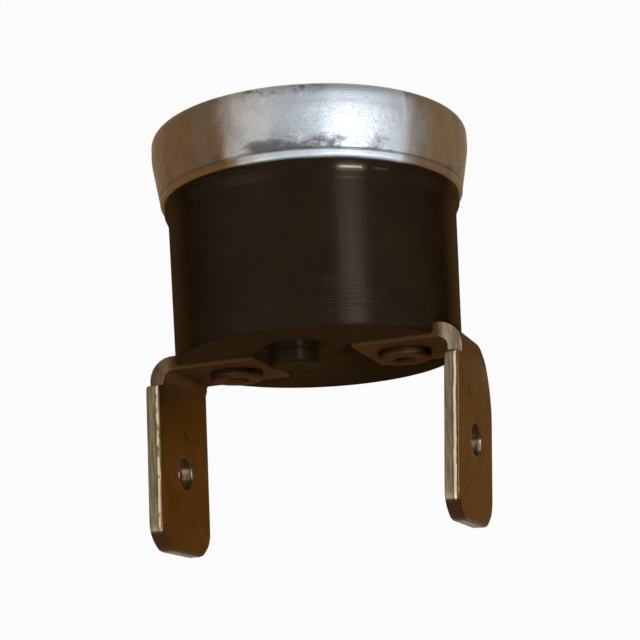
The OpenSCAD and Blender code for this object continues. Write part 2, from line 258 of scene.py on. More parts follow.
def cap_aluminium(tone, tarnish):
    """Drawn aluminium, bright at the front and back, and brown on both flanks: partly tarnish,
    partly a painted reflection.
    """
    f = Finish("cap_aluminium")
    p = f.place()
    x, y, z = f.parts(p)
    around = f.noise(f.joined(x * 0.12, y * 0.12, z * 9.0), 1.0, 5.0, 0.6)
    cloud = f.noise(p, 3.2, 4.0, 0.5, 0.3)
    fine = f.noise(p, 0.16, 3.0, 0.6)
    mottle = f.noise(p, 0.75, 5.0, 0.62)
    rub = f.noise(f.joined(x, y, z * 1.8), 1.3, 6.0, 0.66, 0.4)
    smear = f.noise(f.joined(x * 0.6, y * 0.6, z * 0.3), 1.0, 5.0, 0.6, 0.6)
    ragged = (smear - 0.5) * 0.22

    # Bands of height: the wall above the sensing face, its rounded foot, the crease and the lip
    above = z - CRIMP_Z
    wall = z.smooth(0.02, 0.25)
    foot = z.fade(0.15, 0.9) * wall
    under_crease = above.smooth(-1.27, -0.27) * above.smooth(-0.07, -0.01, 1.0, 0.2)
    groove = above.smooth(-0.15, -0.07) * above.fade(-0.01, 0.07)
    lip = above.smooth(0.01, 0.07)

    # Wear and painted reflection: flanks partly tarnished and partly a painted brown reflection,
    # rubbed spots, two dark painted reflection streaks down the wall, pits and hairlines
    bright_reflection_front = f.toward(-116, 21, 44, ragged)
    flank_tarnish_and_reflection = (1 - bright_reflection_front - f.toward(70, 56, 80, ragged)) * wall
    speck = foot * f.toward(-92, 12, 30) * f.noise(p, 0.45, 5.0, 0.65).smooth(0.5, 0.62)
    scuffed = f.toward(-103, 8, 24) * under_crease
    dark = (rub + scuffed * 0.2).smooth(0.5, 0.78) * (under_crease * 0.8 + 0.2)
    # Two dark vertical streaks at fixed azimuths: a painted reflection
    dark_reflection_streak = f.toward(-71, 1, 8, ragged * 0.1) * 0.7 + f.toward(-151, 1, 6, ragged * 0.1) * 0.8
    dark_reflection_streak = dark_reflection_streak * smear.smooth(0.2, 0.5) * wall
    pit = f.noise(p, 0.2, 3.0, 0.6).smooth(0.68, 0.75)
    hair = scratches(f, p, (0.5, 0.5, 2.2), 0.006) + scratches(f, p, (1.7, 0.6, 0.5), 0.004)

    # The flanks' colour is partly tarnish and partly a painted reflection: browner on +x and
    # greyer on -x
    greyed = [tarnish[0] * 1.1, tarnish[1] * 1.45, tarnish[2] * 2.1]
    dull = f.mix(x.fade(-6.0, 4.0), tarnish, greyed)
    dull = f.mix(smear.smooth(0.35, 0.65, 0.35, 0.0), dull, [c * 0.5 for c in tarnish])
    # Painted reflection: the bare metal is warm, cool about the highlight, and darker in a band
    # near the front
    warm = [tone[0] * 1.1, tone[1], tone[2] * 0.84]
    clean = f.mix(f.toward(-124, 14, 36) * wall, warm, tone)
    clean = f.mix(cloud.smooth(0.3, 0.7) * 0.25, clean, [c * 0.6 for c in tone])
    clean = f.mix(f.toward(-107, 3, 12) * wall * 0.3, clean, [c * 0.5 for c in tone])
    base = f.mix(flank_tarnish_and_reflection.smooth(0.0, 1.0) * 0.96, clean, dull)
    # Painted dark reflection on the rounded foot and in the two streaks
    painted_dark_reflection = [tone[0] * 0.25, tone[1] * 0.2, tone[2] * 0.14]
    base = f.mix(foot * 0.4 + dark_reflection_streak * 0.65, base, painted_dark_reflection)
    base = f.mix(dark * 0.8 + speck * 0.75 + pit * 0.4, base, [0.05, 0.036, 0.034])
    base = f.mix(lip * flank_tarnish_and_reflection.smooth(0.0, 0.4) * 0.8, base, dull)
    # A painted highlight: the lip is lighter at the front
    base = f.mix(lip * f.toward(-118, 20, 36) * 0.35, base, [min(1.0, c * 1.5) for c in tone])
    # Painted shade in the crimp's groove
    base = f.mix(groove * 0.3, base, [c * 0.12 for c in tone])
    rough = 0.36 + mottle * 0.2 + dark * 0.2 + around * 0.08 - hair * 0.12
    height = around * 0.5 + fine * 0.4 + mottle * 1.6 + rub * 1.4 - hair * 0.3
    return f.surface(
        {
            "Base Color": base,
            "Metallic": 1.0,
            "Roughness": rough,
            "Specular Tint": (0.85, 0.76, 0.66),
            "Normal": f.bump(height, 0.014),
        }
    )


def phenolic(name, dark, light, gloss, gloss_share, barrel=False):
    """Moulded phenolic: nearly even, with drag marks along the draw and dust.

    Its skin is dull at a slant, so the gloss gives way to a dusty brown sheen there. The barrel
    also has worn rings, partly a painted highlight, a glint on its shoulder, a painted brown
    rim light on its flanks and a matt terminal face.
    """
    f = Finish(name)
    p = f.place()
    x, y, z = f.parts(p)
    cloud = f.noise(p, 2.4, 5.0, 0.6)
    drag = f.noise(f.joined(x * 3.2, y * 3.2, z * 0.16), 1.0, 4.0, 0.6)
    dust = f.noise(p, 0.11, 2.0, 0.5).smooth(0.74, 0.8) * f.noise(p, 1.1).smooth(0.45, 0.6)
    hair = scratches(f, p, (0.9, 0.9, 0.4), 0.004) * f.noise(p, 4.0).smooth(0.5, 0.62)
    wear_and_highlight_rings = rubbed = matt = 0.0
    if barrel:
        rings = f.noise(f.joined(x * 0.5, y * 0.5, z * 9.0), 1.0, 4.0, 0.65)
        worn = z.smooth(9.0, 11.6) * f.noise(p, 1.5, 5.0, 0.6).smooth(0.36, 0.56)
        # Worn rings, kept to the azimuth where the key light's highlight falls; where they lighten
        # the colour they are a painted highlight
        wear_and_highlight_rings = rings.smooth(0.5, 0.62) * worn * f.toward(-124, 8, 18)
        corner = abs(z - SHOULDER_Z)
        rubbed = corner.fade(0.1, 0.24) * f.toward(-125, 3.5, 6.5)
        rubbed = rubbed + corner.fade(0.02, 0.1) * f.toward(-136.5, 1, 4)
        matt = z.smooth(TOP_Z - 0.06, TOP_Z - 0.01)
    base = f.mix(cloud.smooth(0.35, 0.68), dark, light)
    # Lighter dust and hairlines, and the worn rings as a painted highlight
    base = f.mix(wear_and_highlight_rings * 0.1 + dust * 0.25 + hair * 0.05, base, [c * 4 + 0.015 for c in light])
    if barrel:
        # Painted brown rim light on both flanks of the barrel
        painted_rim_light = (f.toward(-20, 16, 34) + f.toward(-200, 12, 30)) * (1 - matt)
        base = f.mix(painted_rim_light, base, (0.032, 0.015, 0.006))
    rough = gloss + cloud * 0.08 + drag * 0.06 + dust * 0.2
    rough = rough - wear_and_highlight_rings * 0.1 - rubbed * 0.15 + matt * 0.4
    shine = gloss_share + rubbed * (1 - gloss_share)
    height = drag * 0.8 + cloud * 0.4 + wear_and_highlight_rings * 1.2 + f.noise(p, 0.09, 2.0) * 0.3
    edge = f.node("ShaderNodeBevel", {"samples": 4}, {"Radius": 0.2 * MM})
    slant = f.node("ShaderNodeLayerWeight", sockets={"Blend": 0.5}, take=1)
    return f.surface(
        {
            "Base Color": base,
            "Roughness": rough,
            "Specular Tint": (1.0, 0.88, 0.68),
            "Anisotropic": 0.85,
            "Anisotropic Rotation": 0.25,
            "Normal": f.bump(height, 0.008, edge),
        },
        {
            "Roughness": 0.9,
            "Specular IOR Level": 0.0,
            "Sheen Weight": 0.065,
            "Sheen Roughness": 0.4,
            "Sheen Tint": (1.0, 0.54, 0.2),
        },
        1 - (1 - slant.smooth(0.08, 0.55)) * shine,
    )


def rolled_metal(
    name,
    dark,
    light,
    spots,
    roughness,
    grain=(2.0, 2.0, 2.0),
    rim=(1.0, 1.0, 1.0),
    film=0.0,
    blade=False,
):
    """Sheet metal with rolling grain, tarnish clouds and darker spots.

    A film dulls the metal. A blade darkens towards its root and turns matt on the strip below.
    """
    f = Finish(name)
    p = f.place()
    x, y, z = f.parts(p)
    strip, root, strip_share = None, 0.0, 0.0
    if blade:
        strip = {"Base Color": STRIP_BROWN, **STRIP_LOOK}
        root = z.smooth(BLADE_ROOT_Z, BLADE_ROOT_Z + 6.0, 0.55, 0.0)
        strip_share = z.fade(BLADE_ROOT_Z - 0.3, BLADE_ROOT_Z + 1.0)
    gx, gy, gz = grain
    cloud = f.noise(p, 2.6, 5.0, 0.58, 0.5)
    line = f.noise(f.joined(x * gx, y * gy, z * gz), 1.0, 4.0, 0.6)
    stain = f.noise(p, 0.7, 6.0, 0.65, 0.3).smooth(0.55, 0.75)
    pit = f.noise(p, 0.16, 3.0, 0.6).smooth(0.66, 0.76)
    base = f.mix(cloud.smooth(0.3, 0.7) * 0.8 + line * 0.2, dark, light)
    base = f.mix(stain * 0.5 + pit * 0.3 + root, base, spots)
    rough = roughness + cloud * 0.14 + stain * 0.14 + line * 0.08
    height = line * 0.5 + cloud * 0.4 - pit * 0.5 + stain * 0.2
    return f.surface(
        {
            "Base Color": base,
            "Metallic": 1.0 - film,
            "Roughness": rough,
            "Specular IOR Level": 0.0,
            "Specular Tint": rim,
            "Normal": f.bump(height, 0.006),
        },
        strip,
        strip_share,
    )


def sheared_edge(name, fresh, tarnish):
    """The cut edge of the sheet: bare along the blade's sides, tarnished everywhere else."""
    f = Finish(name)
    p = f.place()
    x, y, z = f.parts(p)
    land = f.node("ShaderNodeAttribute", {"attribute_name": "land"}, take=2)
    along = f.noise(f.joined(x * 2.0, y * 2.0, z * 0.5), 1.0, 4.0, 0.6)
    streak = f.noise(f.joined(x * 7.0, y * 0.6, z * 0.6), 1.0, 4.0, 0.6)
    nick = f.noise(p, 0.2, 3.0, 0.6).smooth(0.64, 0.72)
    fine = f.noise(f.joined(x * 3.0, y * 3.0, z * 1.4), 1.0, 3.0, 0.6)

    # Places: the blade's long sides, the outside of the bend, the holes' walls and their lit spots
    left = x.fade(-1.0, 1.0)
    side = abs(y).smooth(3.0, 3.07)
    bend = abs(x).smooth(7.3, 7.8) * z.fade(14.0, 14.4)
    bore = abs(y).fade(0.9, 1.0) * abs(z - HOLE_Z).fade(1.5, 1.7)
    lit = bore * abs(z - left * 0.1 - (HOLE_Z + 0.1)).fade(0.2, 0.4) * land.smooth(0.15, 0.4)
    lit = lit * (left * 0.4 + 0.6)

    # Across the thickness: the torn zone, a thin brim, the burnished band, and the rolled-over
    # edge, painted dark as shade
    ragged = land + (along - 0.5) * 0.2 + (fine - 0.5) * 0.12
    low = 0.72 - left * 0.09
    torn = f.mix(streak.smooth(0.35, 0.65), [c * 0.6 for c in fresh], [c * 1.15 for c in fresh])
    brim = abs(land - low + 0.05).fade(0.0, 0.05)
    burnished = (ragged - low).smooth(0.0, 0.04) * (ragged - low).fade(0.15, 0.2)
    burnished = burnished * (left + fine.smooth(0.4, 0.5, 0.1, 0.85)).smooth(0.0, 1.0)
    roll = (land - low).smooth(0.17, 0.22)

    olive = [fresh[0] * 0.35, fresh[1] * 0.25, fresh[2] * 0.15]
    # The brim and the rolled-over edge go dark olive; on the rolled-over edge it is painted shade
    bare = f.mix(brim * 0.6 + roll * 0.85, torn, olive)
    bare = f.mix(burnished, bare, [fresh[0] * 3.4, fresh[1] * 3.7, fresh[2] * 4.4])
    patchy = (along.smooth(0.38, 0.6) * 0.6 + 0.4) * (left * 0.7 + 0.3)
    pale = [fresh[0] * 1.7, fresh[1] * 1.75, fresh[2] * 2.1]
    # Pale: worn patches on the outside of the bend, and a painted highlight on the holes' walls
    worn = f.mix(bend * patchy + lit, tarnish, pale)
    base = f.mix(side, worn, bare)
    base = f.mix(nick * 0.4, base, [c * 0.6 for c in tarnish])
    rough = 0.3 + streak * 0.14 + nick * 0.1 - burnished * 0.08
    height = streak * 1.2 + along * 0.3 - nick * 0.6 + burnished * 0.6
    return f.surface(
        {
            "Base Color": base,
            "Metallic": 1.0,
            "Roughness": rough,
            "Specular Tint": (0.8, 0.72, 0.6),
            "Normal": f.bump(height, 0.012),
        },
        {"Base Color": (0.068, 0.034, 0.012), **STRIP_LOOK},
        # Below the root the strips' matt brown takes over; the holes' walls are half dulled to it,
        # but not their painted highlight
        z.fade(BLADE_ROOT_Z - 0.3, BLADE_ROOT_Z + 0.1) * (1 - bend) + bore * (1 - lit) * 0.5,
    )


def fired_ceramic(colour):
    """Unglazed ceramic with a fine grain and a few darker flecks."""
    f = Finish("fired_ceramic")
    p = f.place()
    grain = f.noise(p, 0.12, 4.0, 0.6)
    fleck = f.noise(p, 0.2, 2.0).smooth(0.68, 0.74)
    base = f.mix(fleck * 0.5 + grain * 0.2, colour, [c * 0.6 for c in colour])
    return f.surface(
        {"Base Color": base, "Roughness": 0.55 + grain * 0.2, "Normal": f.bump(grain, 0.01)}
    )


# Mesh code


def eased(k):
    """Runs smoothly from 0 to 1 while k does."""
    k = min(max(k, 0.0), 1.0)
    return k * k * (3 - 2 * k)


def rounded(corners, steps):
    """A closed outline from corners (x, y, radius), each rounded by an arc of some steps."""
    out = []
    count = len(corners)
    for i, (x, y, radius) in enumerate(corners):
        here = Vector((x, y))
        if radius <= 0:
            out.append((x, y))
            continue
        to_last = Vector(corners[i - 1][:2]) - here
        to_next = Vector(corners[(i + 1) % count][:2]) - here
        half = to_last.angle(to_next) / 2
        back = min(radius / math.tan(half), to_last.length * 0.49, to_next.length * 0.49)
        radius = back * math.tan(half)
        middle = (to_last.normalized() + to_next.normalized()).normalized()
        centre = here + middle * (radius / math.sin(half))
        start = here + to_last.normalized() * back - centre
        end = here + to_next.normalized() * back - centre
        sweep = start.angle_signed(end)
        for k in range(steps + 1):
            turn = Matrix.Rotation(-sweep * k / steps, 2)
            out.append(tuple(centre + turn @ start))
    return out


def mesh_object(name, bm, materials, sharp=30):
    """Turns a bmesh in millimetres into a smooth-shaded object in metres."""
    bmesh.ops.scale(bm, vec=(MM, MM, MM), verts=bm.verts)
    bmesh.ops.recalc_face_normals(bm, faces=bm.faces)
    mesh = bpy.data.meshes.new(name)
    bm.to_mesh(mesh)
    bm.free()
    for material in materials:
        mesh.materials.append(material)
    mesh.shade_smooth()
    mesh.set_sharp_from_angle(angle=math.radians(sharp))
    obj = bpy.data.objects.new(name, mesh)
    bpy.context.scene.collection.objects.link(obj)
    return obj


def lathe(profile, steps, centre=(0.0, 0.0), waver=None):
    """Revolves a closed outline of (radius, height) round a vertical axis.

    Each point can be moved by waver(radius, height, angle), which gives its new radius and height.
    """
    bm = bmesh.new()
    rings = []
    for r, z in profile:
        if r < 1e-6:
            rings.append([bm.verts.new((centre[0], centre[1], z))])
            continue
        ring = []
        for i in range(steps):
            angle = math.tau * i / steps
            radius, height = waver(r, z, angle) if waver else (r, z)
            x, y = centre[0] + radius * math.cos(angle), centre[1] + radius * math.sin(angle)
            ring.append(bm.verts.new((x, y, height)))
        rings.append(ring)
    for a, b in zip(rings, rings[1:] + rings[:1]):
        if len(a) == 1 and len(b) == 1:
            continue
        for i in range(steps):
            j = (i + 1) % steps
            corners = [a[i % len(a)], a[j % len(a)], b[j % len(b)], b[i % len(b)]]
            face = list(dict.fromkeys(corners))
            if len(face) > 2:
                bm.faces.new(face)
    return bm


def inside(point, loop):
    """Whether a flat point lies inside a closed loop."""
    x, y = point
    odd = False
    for (x1, y1), (x2, y2) in zip(loop, loop[1:] + loop[:1]):
        if (y1 > y) != (y2 > y) and x < (x2 - x1) * (y - y1) / (y2 - y1) + x1:
            odd = not odd
    return odd


def spaced(loop, step):
    """The loop with points added so that none are further apart than step(x) at their place."""
    out = []
    for (x1, y1), (x2, y2) in zip(loop, loop[1:] + loop[:1]):
        gap = math.hypot(x2 - x1, y2 - y1)
        count = max(1, math.ceil(gap / step((x1 + x2) / 2)))
        out += [(x1 + (x2 - x1) * k / count, y1 + (y2 - y1) * k / count) for k in range(count)]
    return out


def inset(loop, amounts):
    """Moves each point of a loop to its left by its own amount."""
    out = []
    count = len(loop)
    for i, (x, y) in enumerate(loop):
        before = Vector(loop[i]) - Vector(loop[i - 1])
        after = Vector(loop[(i + 1) % count]) - Vector(loop[i])
        along = before.normalized() + after.normalized()
        side = Vector((-along.y, along.x)).normalized()
        out.append((x + side.x * amounts[i], y + side.y * amounts[i]))
    return out


# The rings of a cut edge from face to face: depth as a share of the sheet and of the bevel, and
# how far the ring is set in as a share of the bevel
CUT_RINGS = (
    (0.0, 0.0, 1.0),
    (0.0, 0.12, 0.5),
    (0.0, 0.45, 0.13),
    (0.0, 1.0, 0.0),
    (0.5, 0.0, 0.0),
    (1.0, -1.0, 0.0),
    (1.0, -0.45, 0.13),
    (1.0, -0.12, 0.5),
    (1.0, 0.0, 1.0),
)


def stamped(outline, holes, thickness, place, grid, bevel, clear, land):
    """A stamped sheet: two faces and rounded cut edges.

    place(u, v, w) sets a point of the flat sheet in space, and bevel(u) is the rounding's size.
    Grid points nearer to an edge than clear are left out. land(depth) is kept on every point
    for the cut edge's material.
    """
    bm = bmesh.new()
    mark = bm.verts.layers.float.new("land")

    def vert(u, v, w):
        made = bm.verts.new(place(u, v, w))
        made[mark] = land(w / thickness)
        return made

    borders = {0: [], 1: []}
    for loop in [outline] + holes:
        rings = []
        for of_sheet, of_bevel, share in CUT_RINGS:
            moved = inset(loop, [bevel(u) * share for u, _ in loop])
            depths = [thickness * of_sheet + bevel(u) * of_bevel for u, _ in loop]
            ring = [vert(u, v, w) for (u, v), w in zip(moved, depths)]
            rings.append(ring)
            if share == 1.0:
                borders[int(of_sheet)].append((moved, ring))
        for a, b in zip(rings, rings[1:]):
            for i in range(len(a)):
                j = (i + 1) % len(a)
                bm.faces.new((a[i], a[j], b[j], b[i])).material_index = 1
    for level, loops in borders.items():
        flat, verts, edges = [], [], []
        for moved, ring in loops:
            first = len(flat)
            flat += moved
            verts += ring
            edges += [(first + i, first + (i + 1) % len(ring)) for i in range(len(ring))]
        border = loops[0][0]
        bores = [moved for moved, _ in loops[1:]]
        for u, v in grid:
            near = min((u - a) ** 2 + (v - b) ** 2 for a, b in flat[: len(edges)])
            if near > clear**2 and inside((u, v), border):
                if not any(inside((u, v), b) for b in bores):
                    flat.append((u, v))
                    verts.append(vert(u, v, thickness * level))
        points, _, faces, origin, _, _ = delaunay_2d_cdt(
            [Vector(q) for q in flat], edges, [], 0, 1e-7
        )
        for face in faces:
            middle = sum((points[i] for i in face), Vector((0, 0))) / len(face)
            if inside(middle, border) and not any(inside(middle, b) for b in bores):
                corners = [verts[origin[i][0]] for i in face]
                if len(set(corners)) == 3:
                    bm.faces.new(corners).material_index = 0
    return bm


def coil(name, material, centre, radius, wire, low, high, turns):
    """Round wire, wire millimetres thick, wound evenly from one height to another."""
    bm = bmesh.new()
    steps, sides = turns * 32, 12
    rings = []
    for i in range(steps + 1):
        a = math.tau * turns * i / steps
        z = low + (high - low) * i / steps
        ring = []
        for k in range(sides):
            b = math.tau * k / sides
            r = radius + wire / 2 * math.cos(b)
            x, y = centre[0] + r * math.cos(a), centre[1] + r * math.sin(a)
            ring.append(bm.verts.new((x, y, z + wire / 2 * math.sin(b))))
        rings.append(ring)
    for one, two in zip(rings, rings[1:]):
        for k in range(sides):
            n = (k + 1) % sides
            bm.faces.new((one[k], one[n], two[n], two[k]))
    bm.faces.new(rings[0])
    bm.faces.new(rings[-1])
    return mesh_object(name, bm, [material], 60)


def put_on(obj, body, slot_name, *nodes):
    """A piece rides on its body and stands for its CAD nodes."""
    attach(obj, body)
    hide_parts(*nodes)


def dress(node_name, material):
    """Gives a CAD node a procedural material."""
    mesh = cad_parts[node_name].data
    mesh.materials.clear()
    mesh.materials.append(material)


# Sizes and colours


class CapSettings(bpy.types.PropertyGroup):
    """Sizes and colours of the sensing cap"""

    sheet: FloatProperty(
        name="Sheet", description="Thickness of the cap's sheet", default=0.45 * MM, unit="LENGTH"
    )
    waver: FloatProperty(
        name="Crimp waver",
        description="How unevenly the lip is rolled in",
        default=0.03 * MM,
        min=0,
        max=0.06 * MM,
        unit="LENGTH",
    )
    tone: FloatVectorProperty(
        name="Metal",
        description="Colour of the bare aluminium",
        default=(0.4, 0.43, 0.47),
        min=0,
        max=1,
        subtype="COLOR",
    )
    # The flanks' colour: partly tarnish, partly a painted brown reflection
    tarnish: FloatVectorProperty(
        name="Tarnish",
        description="Colour of the handled patches",
        default=(0.14, 0.064, 0.02),
        min=0,
        max=1,
        subtype="COLOR",
    )


class HousingSettings(bpy.types.PropertyGroup):
    """Colours of the housing"""

    dark: FloatVectorProperty(
        name="Dark",
        description="Darker tone of the phenolic",
        default=(0.0075, 0.0035, 0.0009),
        min=0,
        max=1,
        subtype="COLOR",
    )
    light: FloatVectorProperty(
        name="Light",
        description="Lighter tone of the phenolic",
        default=(0.0115, 0.0056, 0.0016),
        min=0,
        max=1,
        subtype="COLOR",
    )


class TerminalSettings(bpy.types.PropertyGroup):
    """Sizes and colours of the terminals"""

    thickness: FloatProperty(
        name="Thickness", description="Thickness of the strip", default=STRIP_T * MM, unit="LENGTH"
    )
    edge: FloatProperty(
        name="Edge",
        description="Rounding of the cut edges",
        default=0.08 * MM,
        min=0.02 * MM,
        max=0.2 * MM,
        unit="LENGTH",
    )
    face: FloatVectorProperty(
        name="Face",
        description="Colour of the tarnished faces",
        default=(0.06, 0.0246, 0.011),
        min=0,
        max=1,
        subtype="COLOR",
    )
    cut: FloatVectorProperty(
        name="Cut edge",
        description="Colour of the cut edges",
        default=(0.185, 0.142, 0.083),
        min=0,
        max=1,
        subtype="COLOR",
    )


class RivetSettings(bpy.types.PropertyGroup):
    """Colour of the rivets"""

    tone: FloatVectorProperty(
        name="Metal",
        description="Colour of the rivets",
        default=(0.045, 0.022, 0.01),
        min=0,
        max=1,
        subtype="COLOR",
    )


class ButtonSettings(bpy.types.PropertyGroup):
    """Finish of the reset button"""

    gloss: FloatProperty(
        name="Roughness", description="Roughness of the button", default=0.3, min=0, max=1
    )


class StageSettings(bpy.types.PropertyGroup):
    """Light, floor and lens"""

    floor: FloatVectorProperty(
        name="Floor",
        description="Colour of the floor",
        default=(0.86, 0.86, 0.86),
        min=0,
        max=1,
        subtype="COLOR",
    )
    key: FloatProperty(
        name="Key light", description="Power of the key light", default=0.38, unit="POWER"
    )
    fill: FloatProperty(
        name="Fill light", description="Power of the fill light", default=0.2, unit="POWER"
    )
    sky: FloatProperty(name="Sky", description="Strength of the world's light", default=0.42)
    lens: FloatProperty(
        name="Lens", description="Focal length of the camera", default=104.64, unit="CAMERA"
    )


# Operators


class THERMOSTAT_OT_cap(bpy.types.Operator):
    """Builds the drawn cap with its rolled lip"""

    bl_idname = "thermostat.cap"
    bl_label = "Sensing cap"

    def execute(self, context):
        s = context.scene.thermostat_cap
        t = s.sheet / MM
        amount = s.waver / MM
        lean_z, lean = 1.4, 0.35
        crease, turn_in = CRIMP_Z - 0.08, CRIMP_Z - 0.2
        lip_out, lip_in = CAP_R - 0.37, 7.75

        def wall(z):
            """The wall's outer radius, which shrinks above lean_z."""
            return CAP_R - max(0.0, min(1.0, (z - lean_z) / (CRIMP_Z - lean_z))) * lean

        corners = [
            (0, 0, 0),
            (CAP_R, 0, 0.6),
            (CAP_R, lean_z, 3.0),
            (wall(crease), crease, 0.06),
            (wall(crease) - 0.08, CRIMP_Z - 0.027, 0.03),
            (lip_out, CRIMP_Z + 0.027, 0.05),
            (lip_out, CAP_LIP_Z, 0.18),
            (lip_in, CAP_LIP_Z, 0.04),
            (lip_in, CRIMP_Z, 0.03),
            (wall(turn_in) - t, turn_in, 0.05),
            (CAP_R - t, lean_z, 0),
            (CAP_R - t, t, 0.15),
            (0, t, 0),
        ]
        profile = spaced(rounded(corners, 7), lambda r: 0.35 if r > 1e-6 else math.inf)

        def waver(r, z, angle):
            """Dents the wall and the lip a little, always inwards and more so near the lip."""
            if r < CAP_R - 1.3 or z < 0.3:
                return r, z
            side = Vector((math.cos(angle), math.sin(angle), 0))
            rise = min(1.0, max(0.0, (z - 1.2) / 2.4))
            dent = noise.noise(side * 2.2 + Vector((0, 0, z * 0.5)))
            ripple = noise.noise(side * 7.0 + Vector((5, 0, z * 0.2)))
            out = (dent * 0.5 + 0.5) * 0.035 * rise + (ripple * 0.5 + 0.5) * amount * rise**4
            drop = (noise.noise(side * 4.5 + Vector((9, 2, 0))) * 0.5 - 0.5) * amount
            return r - out, z + drop * max(0.0, (z - 3.4) / 0.6)

        metal = cap_aluminium(tuple(s.tone), tuple(s.tarnish))
        cap = mesh_object("drawn_cap", lathe(profile, 240, waver=waver), [metal], 40)
        put_on(cap, "case", "cap_metal", "sensing_cap")
        return {"FINISHED"}


class THERMOSTAT_OT_housing(bpy.types.Operator):
    """Finishes the moulded housing"""

    bl_idname = "thermostat.housing"
    bl_label = "Housing"

    def execute(self, context):
        s = context.scene.thermostat_housing
        dress("housing", phenolic("phenolic", tuple(s.dark), tuple(s.light), 0.25, 0.22, True))
        return {"FINISHED"}


class THERMOSTAT_OT_terminals(bpy.types.Operator):
    """Builds the two stamped terminals with their cut edges"""

    bl_idname = "thermostat.terminals"
    bl_label = "Terminals"

    def execute(self, context):
        s = context.scene.thermostat_terminals
        t, edge = s.thickness / MM, s.edge / MM
        face = tuple(s.face)
        blade = rolled_metal(
            "tarnished_blade",
            [c * 0.72 for c in face],
            [min(1, c * 1.35) for c in face],
            [c * 0.35 for c in face],
            roughness=0.34,
            grain=(0.5, 4.0, 0.35),
            rim=(0.76, 0.57, 0.42),
            blade=True,
        )
        cut = sheared_edge("cut_edge", tuple(s.cut), [c * 0.7 for c in face])
        # Side of the axis, outer face, lean in degrees, height above the housing, soft far bend
        for side, blade_x, lean, reach, soft in (
            (1, 8.9, 0.0, 9.9, 0.0),
            (-1, 8.75, 3.5, 9.65, 0.45),
        ):
            bm = self.terminal(side, blade_x, math.radians(lean), reach, soft, t, edge)
            name = "right_terminal" if side > 0 else "left_terminal"
            obj = mesh_object(name.replace("terminal", "blade_strip"), bm, [blade, cut], 50)
            put_on(obj, "case", "blade_metal", name)
        return {"FINISHED"}

    def terminal(self, side, blade_x, lean, reach, soft, t, edge):
        """One terminal, cut flat along u and across v and then bent: strip, bend and blade."""
        strip_in, bend_r = 2.7, 0.5
        half, neck, cut_w, cut_h, tip_r = 3.15, 2.6, 1.15, 0.85, 1.3
        outer, middle = bend_r + t, bend_r + t / 2
        bend_x, bend_z, turn = blade_x - outer, STRIP_Z + outer, math.pi / 2 + lean

        # Along the flat sheet: start and end of the bend, the near shoulder and the tip
        u1 = bend_x - strip_in
        u2 = u1 + turn * middle
        u3 = u2 + TOP_Z + reach - bend_z
        shoulder = u2 + TOP_Z + 1.0 - bend_z

        def place(u, v, w):
            """Bends the sheet round the Y axis, more softly towards its far side."""
            radius = outer - w
            angle = min(max((u - u1) / middle, 0.0), turn)
            past = max(u - u2, 0.0)
            x = bend_x + radius * math.sin(angle) + min(u - u1, 0.0) + past * math.cos(turn)
            z = bend_z - radius * math.cos(angle) + past * math.sin(turn)
            fading = 1 - min(max(u - u1 - 0.9, 0.0) / 3.9, 1.0)
            slack = eased((u - u1 - 0.2) / 1.1) * fading**2
            x -= soft * ((v / half + 1) / 2) ** 2 * slack
            return side * x, v, z

        def step(u):
            """Finer along the bend."""
            return 0.1 if u1 - 0.1 < u < u2 + 0.1 else 0.22

        def bevel(u):
            """The tip is bevelled for the receptacle, the other edges only rounded."""
            at_tip = min(1.0, max(0.0, (u - u3 + 0.1) / 0.1))
            return edge + (0.156 - edge) * at_tip

        def land(depth):
            """The punch came from inside at the right blade and from outside at the left."""
            return depth if side > 0 else 1.0 - depth

        tip = [(u3 - cut_h, half, tip_r), (u3, half - cut_w, tip_r)]
        far = [(0, neck, 0.15), (u1 + 0.25, neck, 0.3), (u1 + 0.85, half, 0.5)] + tip
        near = [(0, neck, 0.15), (shoulder, neck, 0.12), (shoulder, half, 0.5)] + tip
        corners = far + [(u, -v, r) for u, v, r in reversed(near)]
        outline = spaced(rounded(corners, 5), step)[::-1]

        # The rivet's hole and the receptacle's, cut the other way round than the outline
        holes = []
        for centre, radius in ((RIVET_X - strip_in, 1.05), (u3 - 4.4, 0.85)):
            turns = [math.tau * k / 48 for k in range(48)]
            holes.append([(centre + radius * math.cos(a), -radius * math.sin(a)) for a in turns])

        grid = []
        across = [2 * half * (k + 0.5) / 15 - half for k in range(15)]
        u = 0.15
        while u < u3:
            grid += [(u, v) for v in across]
            u += 0.12 if u1 - 0.2 < u < u2 + 0.2 else 0.42

        return stamped(outline, holes, t, place, grid, bevel, 0.12, land)


